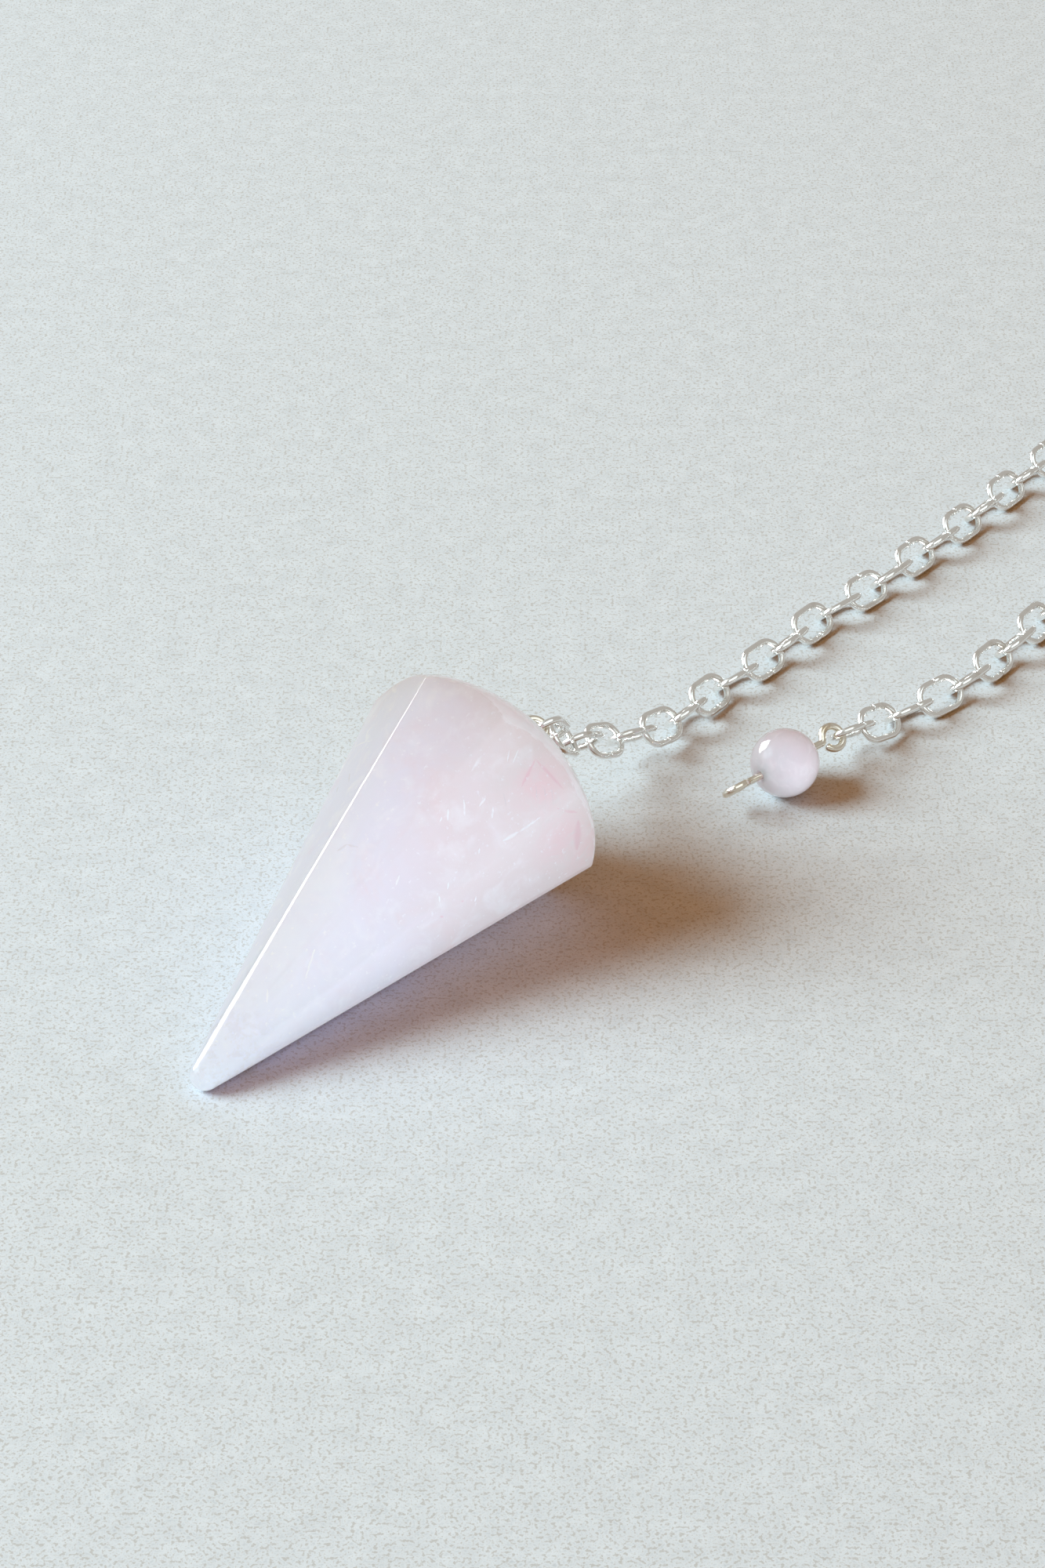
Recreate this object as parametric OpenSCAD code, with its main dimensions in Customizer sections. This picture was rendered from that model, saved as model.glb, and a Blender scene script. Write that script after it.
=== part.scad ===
// Pendulum pendant: a rose quartz point with eight cut sides lies on one of
// them. A loop on a peg in its domed end holds a cable chain, and the chain
// ends in a small round bead on a wire pin with a loop at each end.
// Millimetres, +Z up. The origin is the middle of the footprint, on the
// surface that the pendant lies on. +Y runs away from the viewer.

/* [Stone] */
// Length from the point where the sides would meet to the shoulder corners
taper_len = 40.4; // [36:0.2:46]
// Radius of the stone over its shoulder corners
corner_r = 11.5; // [10:0.1:13]
// Height of the domed end over the shoulder corners
dome_rise = 5.6; // [4.8:0.1:6.4]
// Radius of the rounding where the dome meets the sides
shoulder_r = 5; // [4:0.1:5.6]
// Radius of the rounded tip
tip_r = 1.25; // [0.9:0.05:1.5]
// How far the edges are rubbed down at the shoulder
edge_wear = 0.03; // [0.02:0.01:0.08]
// How far the rubbed edges are set back along the stone, which widens them at the tip
wear_shift = 0.55; // [0.3:0.05:0.8]
// Depth of the hole drilled in the domed end
peg_hole_depth = 6; // [4:0.5:9]
// Direction in which the stone points away from its tip, seen from above
stone_heading = 51; // [45:1:57]

/* [Loops] */
// Wire diameter of the three loops
loop_wire_d = 0.65; // [0.55:0.05:0.7]
// Outer diameter of a loop
loop_d = 2.7; // [2.6:0.1:3.2]
// Diameter of the peg that holds the stone
peg_d = 1.2; // [1:0.1:1.6]
// Glue around the peg in its hole
peg_fit = 0.05; // [0.02:0.01:0.1]
// Bare wire between the domed end and the stone's loop
peg_neck = 0.2; // [0.1:0.1:0.6]

/* [Chain] */
// Outer length of a link
link_len = 5.2; // [4.8:0.1:5.6]
// Outer width of a link
link_w = 3.4; // [3.2:0.1:3.8]
// Wire diameter of a link
link_wire_d = 0.6; // [0.5:0.05:0.65]
// Play between two links that hang in each other
link_gap = 0.14; // [0.12:0.02:0.2]

/* [Bead] */
// Diameter of the end bead
bead_d = 6; // [5.6:0.1:6.6]
// Play of the bead around its wire
bead_play = 0.15; // [0.1:0.05:0.3]
// Bare wire between the bead and each loop
pin_neck = 1.2; // [0.6:0.1:1.6]
// Direction from the bead to its chain loop, seen from above
pin_heading = 39; // [35:1:44]

/* [Hidden] */

round_fn = 48;
small_fn = 24;
overlap = 0.02;
large = 200;

// The eight sides as cut: turn from an even spacing in degrees, and distance
// from the axis as a share of an even cut. The first one is the resting side.
side_count = 8;
TURN = 0;
SHARE = 1;
sides = [
    [0, 1.000],
    [2, 0.996],
    [4, 1.007],
    [-6, 0.998],
    [-1, 0.997],
    [-4, 0.986],
    [-1, 1.000],
    [0, 1.000]
];
side_r = corner_r * cos(180 / side_count);
rest_tilt = atan(side_r * sides[0][SHARE] / taper_len);

// Outline of the turned stone: a cone just inside the corners, a round tip,
// a rounded shoulder and a flatter crown
wear_r = corner_r - edge_wear;
wear_angle = atan(wear_r / (taper_len - wear_shift));
tip_z = wear_shift + tip_r / sin(wear_angle);
shoulder_turn = 22;
shoulder_x = wear_r - shoulder_r * cos(shoulder_turn);
shoulder_z = taper_len - shoulder_r * sin(shoulder_turn);
dome_top = taper_len + dome_rise;
crown_r = (pow(dome_top - shoulder_z, 2) + pow(shoulder_x, 2) - pow(shoulder_r, 2))
    / (2 * (dome_top - shoulder_z - shoulder_r));
crown_z = dome_top - crown_r;
crown_turn = atan2(shoulder_x, shoulder_z - crown_z);

// The stone's axis rises from the surface, where its sides would meet
stone_level = [cos(stone_heading), sin(stone_heading), 0];
stone_dir = cos(rest_tilt) * stone_level + [0, 0, sin(rest_tilt)];

// Directions: unit length, level to the left, a ring's axis when it is rolled
// about its own way, the roll of a given axis, and a direction laid in a plane
function unit(v) = v / norm(v);
function left_of(d) = unit([-d[1], d[0], 0]);
function over(d) = cross(unit(d), left_of(d));
function rolled(d, roll) = cos(roll) * left_of(d) + sin(roll) * over(d);
function roll_of(d, axis) = atan2(axis * over(d), axis * left_of(d));
function laid(d, axis) = unit(d - (d * axis) * axis);

// Each link is turned a quarter from the one before, so that all of them lean
// half a quarter on the surface, to one side and the other in turn
function lean(i) = i % 2 == 0 ? 45 : -45;

// A link hangs in a loop's wire with the same play as in the next link
loop_r = (loop_d - loop_wire_d) / 2;
hook = (loop_wire_d + link_gap) / 2;
peg_loop_up = dome_top + peg_neck + loop_d / 2;
peg_loop_xy = [-21.66, -19.56, 0];
stone_at = peg_loop_xy - peg_loop_up * cos(rest_tilt) * stone_level;
peg_loop_at = stone_at + peg_loop_up * stone_dir;

// The chain's way from the peg loop to the bead, through points chosen by
// hand: down to the surface, along it, round one plain turn and back
first_dir = unit([0.4, 0.68, -0.62]);
peg_loop_axis = unit(cross(stone_dir, rolled(first_dir, lean(0))));
start_joint = peg_loop_at + loop_r * laid(first_dir, peg_loop_axis) - hook * first_dir;
chain_points = [
    [-19.1, -15.1, 8],
    [-15.6, -9.8, 4.3],
    [-10.1, -4.3, 2.1],
    [-5.6, 2.2, 1.4],
    [-0.6, 7.7, 1.3],
    [4.4, 14.2, 1.3],
    [9.4, 19.2, 1.3],
    [14.4, 25.2, 1.3],
    [19.4, 31.2, 1.3],
    [24.4, 37.7, 1.3],
    [28.4, 42.7, 1.3],
    [33.2, 48.5, 1.3],
    [37.6, 51.4, 1.3],
    [42.5, 50.8, 1.3],
    [46.4, 47.6, 1.3],
    [47.7, 42.8, 1.3],
    [45.7, 38.2, 1.3],
    [41.9, 33.7, 1.3],
    [36.9, 27.7, 1.3],
    [30.9, 21.7, 1.3],
    [25.9, 15.7, 1.3],
    [20.9, 8.7, 1.3],
    [15.9, 2.7, 1.3],
    [10.4, -1.8, 1.4],
    [6.8, -5.3, 2.4],
    [4, -8.4, bead_d / 2 + 0.7]
];

// The same way as a smooth curve, with its length up to each of its points
function spline(a, b, c, d, t) = 0.5 * (2 * b + t * (c - a) + t * t * (2 * a - 5 * b + 4 * c - d)
    + t * t * t * (3 * b - a - 3 * c + d));
spline_steps = 8;
way = concat([start_joint], chain_points);
last_way = len(way) - 1;
curve = [
    for (i = [0:last_way - 1], k = [0:spline_steps - 1])
        spline(way[max(i - 1, 0)], way[i], way[i + 1], way[min(i + 2, last_way)], k / spline_steps)
];
function run_lengths(p, i = 0, sum = 0, out = []) = i == len(p) ? out
    : let (s = i == 0 ? 0 : sum + norm(p[i] - p[i - 1])) run_lengths(p, i + 1, s, concat(out, [s]));
runs = run_lengths(curve);
function table(axis) = [for (i = [0:len(curve) - 1]) [runs[i], curve[i][axis]]];
x_table = table(0);
y_table = table(1);
z_table = table(2);
function at_run(s) = [lookup(s, x_table), lookup(s, y_table), lookup(s, z_table)];

// Links hang in each other at joints one pitch apart, an even number of them
pitch = link_len - 2 * link_wire_d - link_gap;
link_count = 2 * floor(runs[len(runs) - 1] / (2 * pitch));
joints = [for (i = [0:link_count]) at_run(i * pitch)];

// The bead rests on the surface and its pin reaches up to the chain's end
end_dir = unit(joints[link_count] - joints[link_count - 1]);
pin_level = [cos(pin_heading), sin(pin_heading), 0];
chain_loop_axis = unit(cross(pin_level, rolled(end_dir, lean(link_count - 1))));
chain_loop_at = joints[link_count] - hook * end_dir + loop_r * laid(end_dir, chain_loop_axis);
loop_to_bead = loop_d / 2 + pin_neck + bead_d / 2;
pin_tilt = asin((chain_loop_at[2] - bead_d / 2) / loop_to_bead);
pin_dir = cos(pin_tilt) * pin_level + [0, 0, sin(pin_tilt)];
bead_at = chain_loop_at - loop_to_bead * pin_dir;

// Turns a shape so that its +Z runs along dir, with its +X level or rolled
module along(dir, roll = 0) {
    rotate([0, 0, atan2(dir[1], dir[0])]) rotate([0, 90 - asin(dir[2] / norm(dir)), 0])
        rotate([0, 0, roll]) children();
}

// A ring of round wire in the XZ plane
module wire_loop() {
    rotate([90, 0, 0]) rotate_extrude($fn = round_fn) translate([loop_r, 0]) circle(d = loop_wire_d, $fn = small_fn);
}

module stone_outline() {
    translate([0, tip_z]) intersection() {
        circle(r = tip_r, $fn = round_fn);
        translate([0, -tip_r]) square([tip_r, 2 * tip_r]);
    }
    polygon([
        [0, tip_z],
        [tip_r * cos(wear_angle), tip_z - tip_r * sin(wear_angle)],
        [wear_r, taper_len],
        [shoulder_x, shoulder_z],
        [0, shoulder_z]
    ]);
    translate([shoulder_x, shoulder_z]) circle(r = shoulder_r, $fn = round_fn);
    intersection() {
        translate([0, crown_z]) circle(r = crown_r, $fn = round_fn);
        polygon([
            [0, shoulder_z],
            [shoulder_x, shoulder_z],
            [shoulder_x + crown_r * sin(crown_turn), shoulder_z + crown_r * cos(crown_turn)],
            [0, shoulder_z + crown_r]
        ]);
    }
}

// Everything outside one cut side
module side_cut(i) {
    rotate([0, 0, -i * 360 / side_count - sides[i][TURN]])
        rotate([0, atan(side_r * sides[i][SHARE] / taper_len), 0])
            translate([0, -large / 2, -large / 2]) cube(large);
}

// Puts the upright stone on its resting side with its tip at stone_at
module lay_down() {
    translate(stone_at) along(stone_dir) children();
}

module stone() {
    color([0.95, 0.87, 0.9]) lay_down() difference() {
        rotate_extrude($fn = round_fn) stone_outline();
        for (i = [0:side_count - 1]) side_cut(i);
        translate([0, 0, dome_top - peg_hole_depth])
            cylinder(d = peg_d + 2 * peg_fit, h = peg_hole_depth + 1, $fn = small_fn);
    }
}

module stone_peg() {
    color([0.8, 0.79, 0.76]) lay_down() union() {
        translate([0, 0, dome_top - peg_hole_depth + peg_fit])
            cylinder(d = peg_d, h = peg_hole_depth - peg_fit, $fn = small_fn);
        translate([0, 0, dome_top - overlap])
            cylinder(d = loop_wire_d, h = peg_neck + loop_wire_d / 2 + overlap, $fn = small_fn);
        translate([0, 0, peg_loop_up]) rotate([0, 0, roll_of(stone_dir, peg_loop_axis)]) wire_loop();
    }
}

// One link, its length along Z and its wire's ring in the XZ plane
module link() {
    bend_r = (link_w - link_wire_d) / 2;
    straight = link_len - link_w;
    for (end = [-1, 1]) {
        translate([0, 0, end * straight / 2]) rotate([90, 0, 0]) rotate([0, 0, 90 * end - 90])
            rotate_extrude(angle = 180, $fn = round_fn) translate([bend_r, 0]) circle(d = link_wire_d, $fn = small_fn);
        translate([end * bend_r, 0, -straight / 2]) cylinder(d = link_wire_d, h = straight, $fn = small_fn);
    }
}

module chain() {
    color([0.82, 0.81, 0.79]) for (i = [0:link_count - 1]) {
        translate((joints[i] + joints[i + 1]) / 2) along(joints[i + 1] - joints[i], lean(i)) link();
    }
}

module bead_pin() {
    color([0.8, 0.78, 0.72]) translate(bead_at) along(pin_dir, roll_of(pin_dir, chain_loop_axis)) {
        shaft = bead_d + 2 * pin_neck + loop_wire_d;
        translate([0, 0, -shaft / 2]) cylinder(d = loop_wire_d, h = shaft, $fn = small_fn);
        translate([0, 0, loop_to_bead]) wire_loop();
        translate([0, 0, -loop_to_bead]) rotate([0, 0, 90]) wire_loop();
    }
}

module end_bead() {
    color([0.95, 0.88, 0.9]) translate(bead_at) along(pin_dir) difference() {
        sphere(d = bead_d, $fn = round_fn);
        translate([0, 0, -bead_d]) cylinder(d = loop_wire_d + 2 * bead_play, h = 2 * bead_d, $fn = small_fn);
    }
}

stone();
stone_peg();
chain();
bead_pin();
end_bead();
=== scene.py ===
"""Dresses the pendulum pendant: a rose quartz point, its chain, its wire loops and its end bead."""

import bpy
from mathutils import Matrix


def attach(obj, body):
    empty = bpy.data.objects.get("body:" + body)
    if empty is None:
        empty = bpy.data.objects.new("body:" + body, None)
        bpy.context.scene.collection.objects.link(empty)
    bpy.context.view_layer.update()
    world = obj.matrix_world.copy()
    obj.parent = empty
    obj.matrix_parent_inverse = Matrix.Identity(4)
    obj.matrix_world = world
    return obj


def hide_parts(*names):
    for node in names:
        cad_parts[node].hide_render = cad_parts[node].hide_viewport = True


bl_info = {
    "name": "Pendulum Pendant",
    "version": (1, 0, 0),
    "blender": (4, 5, 0),
    "location": "View3D > Sidebar > Pendant",
    "description": "Builds the stone, chain, wire loops, end bead and stage of a pendulum pendant",
    "category": "Object",
}

import math
from functools import reduce

import bmesh
import bpy
import numpy as np
from bpy.props import FloatProperty, FloatVectorProperty, PointerProperty
from mathutils import Matrix, Vector

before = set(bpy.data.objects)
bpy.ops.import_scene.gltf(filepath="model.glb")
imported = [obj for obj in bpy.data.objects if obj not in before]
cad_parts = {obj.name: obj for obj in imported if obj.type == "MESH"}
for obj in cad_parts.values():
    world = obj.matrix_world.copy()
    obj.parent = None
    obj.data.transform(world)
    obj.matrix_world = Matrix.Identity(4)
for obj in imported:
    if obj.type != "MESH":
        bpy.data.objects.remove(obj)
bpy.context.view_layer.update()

MM = 0.001


def place_of(name, description, default, **limits):
    """A coordinate, its default in millimetres"""
    return FloatProperty(
        name=name, description=description, default=default * MM, unit="LENGTH", precision=5, **limits)


def size_of(name, description, default):
    """A length, its default in millimetres"""
    return place_of(name, description, default, min=0.0)


def power_of(name, description, default):
    """The power of a light, in watts"""
    return FloatProperty(name=name, description=description, default=default, min=0.0, unit="POWER")


def share_of(name, description, default):
    """A share from 0 to 1"""
    return FloatProperty(
        name=name, description=description, default=default, min=0.0, max=1.0, subtype="FACTOR")


def colour_of(name, description, default):
    """A colour as its red, green and blue"""
    return FloatVectorProperty(
        name=name, description=description, default=default, size=3, min=0.0, max=1.0, subtype="COLOR")


class StoneSettings(bpy.types.PropertyGroup):
    """Sizes and colours of the stone"""
    taper_length: size_of("Taper length", "From where the sides would meet to the shoulder corners", 40.4)
    corner_radius: size_of("Corner radius", "Radius over the shoulder corners", 11.5)
    dome_rise: size_of("Dome rise", "Height of the domed end over the shoulder corners", 5.6)
    shoulder_radius: size_of("Shoulder radius", "Rounding where the dome meets the sides", 5)
    tip_radius: size_of("Tip radius", "Radius of the rounded tip", 1.25)
    edge_wear: size_of("Edge wear", "How far the edges are rubbed down at the shoulder", 0.03)
    wear_shift: size_of("Wear shift", "How far the rubbed edges are set back along the stone", 0.55)
    edge_softness: size_of("Edge softness", "How gently the tip's wear runs out into the sides", 0.05)
    edge_rounding: size_of("Edge rounding", "Radius of the long edges half way along", 0.82)
    rim_rounding: size_of("Rim rounding", "Radius of the long edges at the domed end", 0.08)
    rim_softness: size_of("Rim softness", "Half the width of the turn from a side to the dome", 0.16)
    hole_diameter: size_of("Hole diameter", "Diameter of the drilled hole", 1.3)
    hole_depth: size_of("Hole depth", "Depth of the drilled hole", 6)
    depth: size_of("Depth", "How deep light wanders in the stone", 40)
    pale: colour_of("Pale", "Milky body colour of the wide end", (0.745, 0.66, 0.665))
    # On the stone, lavender is also laid towards the lit upper edge as painted glow
    lavender: colour_of("Lavender", "Cool body colour towards the tip", (0.755, 0.775, 0.98))
    pink: colour_of("Pink", "Colour of the pinkest zones", (0.83, 0.57, 0.60))
    rose: colour_of("Rose", "Colour of the fine stains in the pink zones", (0.74, 0.44, 0.50))
    # Painted glow: bluish white laid along the lit upper edge, standing in for light scattered into the stone
    # there
    painted_glow: colour_of("Milk", "Colour of the milky zone along the upper edge", (0.80, 0.83, 1.0))
    white: colour_of("White", "Colour of cracks and veils", (0.94, 0.94, 1.0))
    grey: colour_of("Grey", "Colour of the dull marks", (0.60, 0.57, 0.60))


class MetalSettings(bpy.types.PropertyGroup):
    """Sizes and colours of the silver wire"""
    wire_diameter: size_of("Link wire", "Wire diameter of a link", 0.6)
    link_length: size_of("Link length", "Outer length of a link", 5.2)
    link_width: size_of("Link width", "Outer width of a link", 3.4)
    seam_width: size_of("Seam width", "Gap where a link's wire ends meet", 0.03)
    loop_wire: size_of("Loop wire", "Wire diameter of the loops", 0.65)
    loop_diameter: size_of("Loop diameter", "Outer diameter of a loop", 2.7)
    peg_diameter: size_of("Peg diameter", "Diameter of the glued peg", 1.2)
    peg_length: size_of("Peg length", "Length of the glued peg", 5.95)
    peg_neck: size_of("Peg neck", "Bare wire between the stone and its loop", 0.2)
    pin_neck: size_of("Pin neck", "Bare wire between the bead and each loop", 1.2)
    silver: colour_of("Silver", "Colour of the bright metal", (0.92, 0.91, 0.89))
    warm_silver: colour_of("Warm silver", "Colour of the wire of the loops", (0.85, 0.79, 0.69))
    tarnish: colour_of("Tarnish", "Colour in the dull spots of the links", (0.60, 0.52, 0.43))
    golden: colour_of("Golden", "Colour in the worn spots of the loops", (0.63, 0.45, 0.24))


class BeadSettings(bpy.types.PropertyGroup):
    """Sizes and colours of the end bead"""
    diameter: size_of("Diameter", "Diameter of the bead", 6)
    hole_diameter: size_of("Hole diameter", "Diameter of the hole through the bead", 0.95)
    chamfer: size_of("Chamfer", "Width of the rubbed rim of the hole", 0.12)
    depth: size_of("Depth", "How deep light wanders in the bead", 5)
    pale: colour_of("Pale", "Body colour of one half", (0.68, 0.61, 0.60))
    lavender: colour_of("Lavender", "Body colour of the other half", (0.64, 0.635, 0.65))
    pink: colour_of("Pink", "Colour of its pink clouds", (0.71, 0.57, 0.58))
    white: colour_of("White", "Colour of its veils", (0.79, 0.76, 0.76))


class StageSettings(bpy.types.PropertyGroup):
    """Floor, light and camera"""
    floor: colour_of("Floor", "Colour of the floor", (0.812, 0.832, 0.862))
    grain: colour_of("Grain", "Colour of the floor's dark sand grains", (0.44, 0.39, 0.34))
    window_power: power_of("Window power", "Main light, from the left", 64.0)
    stone_share: share_of("Stone share", "How much of the main light the stone and bead take", 0.12)
    wide_power: power_of("Wide power", "Large soft light around the main one", 5.5)
    back_power: power_of("Back power", "Light from behind that draws the long edge", 42.0)
    glow_power: power_of("Glow power", "Large soft light on the stone and bead alone", 56.0)
    bead_power: power_of("Bead power", "Soft light on the bead alone, from the left", 9.0)
    far_glow_power: power_of("Far glow power", "Soft light on the far side of the stone and bead", 10.5)
    sheen_power: power_of("Sheen power", "Large soft light on the silver alone", 12.0)
    daylight: colour_of("Daylight", "Colour of the main light", (0.64, 0.87, 0.96))
    soft_light: colour_of("Soft light", "Colour of the large soft lights", (0.80, 0.95, 1.0))
    back_light: colour_of("Back light", "Colour of the light that draws the long edge", (0.97, 0.99, 1.0))
    glow_colour: colour_of("Glow colour", "Colour of the stone's and bead's own lights", (0.69, 0.81, 1.0))
    room: colour_of("Room", "Colour of the light from all round", (1.0, 0.46, 0.12))
    mirrored_room: colour_of("Mirrored room", "Colour of the room in what gloss mirrors", (0.46, 0.44, 0.41))
    room_strength: share_of("Room strength", "Strength of the light from all round", 0.30)
    camera_pitch: FloatProperty(
        name="Camera pitch", description="How far the camera looks down", default=math.radians(35.23),
        unit="ROTATION")
    camera_distance: size_of("Camera distance", "From the camera to where it looks at the floor", 350)
    aim_x: place_of("Aim X", "Where the camera looks at the floor, in X", -22.67)
    aim_y: place_of("Aim Y", "Where the camera looks at the floor, in Y", -10.19)


class Field:
    """A number or colour that varies over a surface, so that shader maths reads as plain sums"""

    def __init__(self, finish, socket):
        self.finish = finish
        self.socket = socket

    def maths(self, operation, *values):
        return self.finish.node("Math", {"operation": operation}, dict(enumerate(values)))

    def __add__(self, other):
        return self.maths("ADD", self, other)

    __radd__ = __add__

    def __sub__(self, other):
        return self.maths("SUBTRACT", self, other)

    def __rsub__(self, other):
        return self.maths("SUBTRACT", other, self)

    def __mul__(self, other):
        return self.maths("MULTIPLY", self, other)

    __rmul__ = __mul__

    def __truediv__(self, other):
        return self.maths("DIVIDE", self, other)

    def __rtruediv__(self, other):
        return self.maths("DIVIDE", other, self)

    def __abs__(self):
        return self.maths("ABSOLUTE", self)

    def root(self):
        return self.maths("SQRT", self)

    def most(self, other):
        return self.maths("MAXIMUM", self, other)

    def rise(self, low, high):
        """0 up to low, 1 from high on, and smooth between"""
        return self.finish.node("MapRange", {"interpolation_type": "SMOOTHSTEP"}, {
            "Value": self, "From Min": low, "From Max": high})


class Finish:
    """The nodes of a material or of the world"""

    def __init__(self, owner):
        owner.use_nodes = True
        self.owner = owner
        self.tree = owner.node_tree
        self.tree.nodes.clear()

    def node(self, kind, settings=None, inputs=None, output=0):
        """A new node with its settings and its sockets' values or links, as one of its outputs"""
        made = self.tree.nodes.new("ShaderNode" + kind)
        for key, value in (settings or {}).items():
            setattr(made, key, value)
        for key, value in (inputs or {}).items():
            if isinstance(value, Field):
                self.tree.links.new(value.socket, made.inputs[key])
            else:
                made.inputs[key].default_value = value
        return Field(self, made.outputs[output])

    def vector_maths(self, operation, output, *values):
        return self.node("VectorMath", {"operation": operation}, dict(enumerate(values)), output)

    def mix(self, factor, low, high):
        """A colour between two others"""
        pads = [value if isinstance(value, Field) else (*value, 1.0) for value in (low, high)]
        return self.node("Mix", {"data_type": "RGBA"}, {0: factor, 6: pads[0], 7: pads[1]}, 2)

    def place(self, matrix=None):
        """Where a surface point is, in metres, or in millimetres in a piece's own frame"""
        place = self.node("TexCoord", output="Object")
        if matrix is None:
            return place
        return self.node("Mapping", {"vector_type": "TEXTURE"}, {
            "Vector": place, "Location": matrix.to_translation(), "Rotation": matrix.to_euler(),
            "Scale": (MM,) * 3})

    def part(self, vector, axis):
        """One of a vector's three numbers"""
        return self.node("SeparateXYZ", {}, {"Vector": vector}, axis)

    def noise(self, vector, scale, detail, distortion=0.0, shift=0.0):
        """Cloudy noise from 0 to 1; a shift gives another one at the same scale"""
        if shift:
            vector = self.vector_maths("ADD", "Vector", vector, (shift,) * 3)
        return self.node("TexNoise", {}, {
            "Vector": vector, "Scale": scale, "Detail": detail, "Roughness": 0.55, "Distortion": distortion})

    def warped(self, vector, scale, reach):
        """A place pushed about by noise, up to half of reach"""
        push = self.node("TexNoise", {}, {"Vector": vector, "Scale": scale, "Detail": 2.0}, "Color")
        push = self.vector_maths("MULTIPLY_ADD", "Vector", push, (reach,) * 3, (-reach / 2,) * 3)
        return self.vector_maths("ADD", "Vector", vector, push)

    def spot(self, vector, middle, reach):
        """1 at a point, falling to 0 at a distance of reach"""
        away = self.vector_maths("DISTANCE", "Value", vector, middle)
        return 1 - away.rise(0.0, reach)

    def streak(self, vector, start, end, width):
        """1 along a short straight line, falling to 0 at its width, and thinner at its ends"""
        start, end = Vector(start), Vector(end)
        span = end - start
        offset = self.vector_maths("SUBTRACT", "Vector", vector, start)
        along = self.vector_maths("DOT_PRODUCT", "Value", offset, span / span.length_squared)
        held = self.node("Clamp", {}, {"Value": along})
        nearest = self.node("VectorMath", {"operation": "SCALE"}, {0: span, "Scale": held})
        away = self.vector_maths("DISTANCE", "Value", offset, nearest)
        taper = width * (0.25 + 0.75 * (held * (1 - held) * 4))
        return (1 - away / taper).most(0.0)

    def surface(self, shader):
        """Ends the nodes with their shader, and returns their owner"""
        kind = "OutputWorld" if isinstance(self.owner, bpy.types.World) else "OutputMaterial"
        output = self.tree.nodes.new("ShaderNode" + kind)
        self.tree.links.new(shader.socket, output.inputs["Surface"])
        return self.owner


def placed(name, data):
    """A new object in the scene"""
    made = bpy.data.objects.new(name, data)
    bpy.context.scene.collection.objects.link(made)
    return made


def mesh_piece(name, points, faces, material, slot, replaced, matrix=None):
    """A new object of the scene that rides on the pendant and stands for a CAD node"""
    mesh = bpy.data.meshes.new(name)
    mesh.from_pydata([tuple(point) for point in points], [], faces)
    if matrix is not None:
        mesh.transform(matrix)
    mesh.materials.append(material)
    mesh.polygons.foreach_set("use_smooth", [True] * len(mesh.polygons))
    outward = bmesh.new()
    outward.from_mesh(mesh)
    bmesh.ops.recalc_face_normals(outward, faces=outward.faces)
    outward.to_mesh(mesh)
    outward.free()
    piece = placed(name, mesh)
    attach(piece, "root")
    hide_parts(replaced)


def grid_faces(rows, columns, closed_rows=False):
    """Quads of a grid whose columns close into a ring"""
    faces = []
    for row in range(rows if closed_rows else rows - 1):
        here = row * columns
        after = (row + 1) % rows * columns
        for column in range(columns):
            beside = (column + 1) % columns
            faces.append((here + column, here + beside, after + beside, after + column))
    return faces


def axes_matrix(at, along, level):
    """A frame at a point, with Z along one way and Y near another"""
    z_axis = Vector(along).normalized()
    y_axis = (Vector(level) - z_axis * z_axis.dot(level)).normalized()
    x_axis = y_axis.cross(z_axis)
    matrix = Matrix((x_axis, y_axis, z_axis)).transposed().to_4x4()
    matrix.translation = Vector(at)
    return matrix


def bent(start, corner, end, share):
    """A point on the curve that leaves start towards a corner and turns off to end"""
    return start * (1 - share) ** 2 + corner * 2 * share * (1 - share) + end * share ** 2


def halved(low, high, is_low):
    """Where between low and high a test turns from true to false"""
    for _ in range(40):
        middle = (low + high) / 2
        low, high = (middle, high) if is_low(middle) else (low, middle)
    return low


# The cut sides in turn from the resting one: turn from an even spacing in
# degrees, and distance from the axis as a share of an even cut
SIDES = (
    (0, 1.000), (2, 0.996), (4, 1.007), (-6, 0.998), (-1, 0.997), (-4, 0.986), (-1, 1.000), (0, 1.000))
# Where on the floor the resting side would come to a point, in millimetres,
# and the stone's heading from there to its domed end, in degrees
STONE_AT = (-50.6, -55.3, 0.0)
STONE_HEADING = 51.0
# How far above level the shoulder's rounding faces where it meets a corner, in degrees
SHOULDER_LIFT = 22
# A side counts in a direction that it faces with at least this cosine
FACING = 0.2
# The long edges' radius stays under this share of the stone's own there
ROUNDEST = 0.9
# Rows of the mesh over the tip, along the sides, round the rim and over the dome
TIP_ROWS = 10
SIDE_ROWS = 96
RIM_ROWS = 6
DOME_ROWS = 34
# Depth of the ring of points just inside the drilled hole, in millimetres
HOLE_RING = 0.4
# Columns of the mesh beside each long edge, in degrees from it, up to a share of half a side
EDGE_STEPS = (0.0, 0.15, 0.3, 0.5, 0.8, 1.2, 1.7, 2.3, 3.0, 3.8, 5.0, 7.0, 10.0, 13.5, 17.5)
STEPPED_SHARE = 0.93


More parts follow.
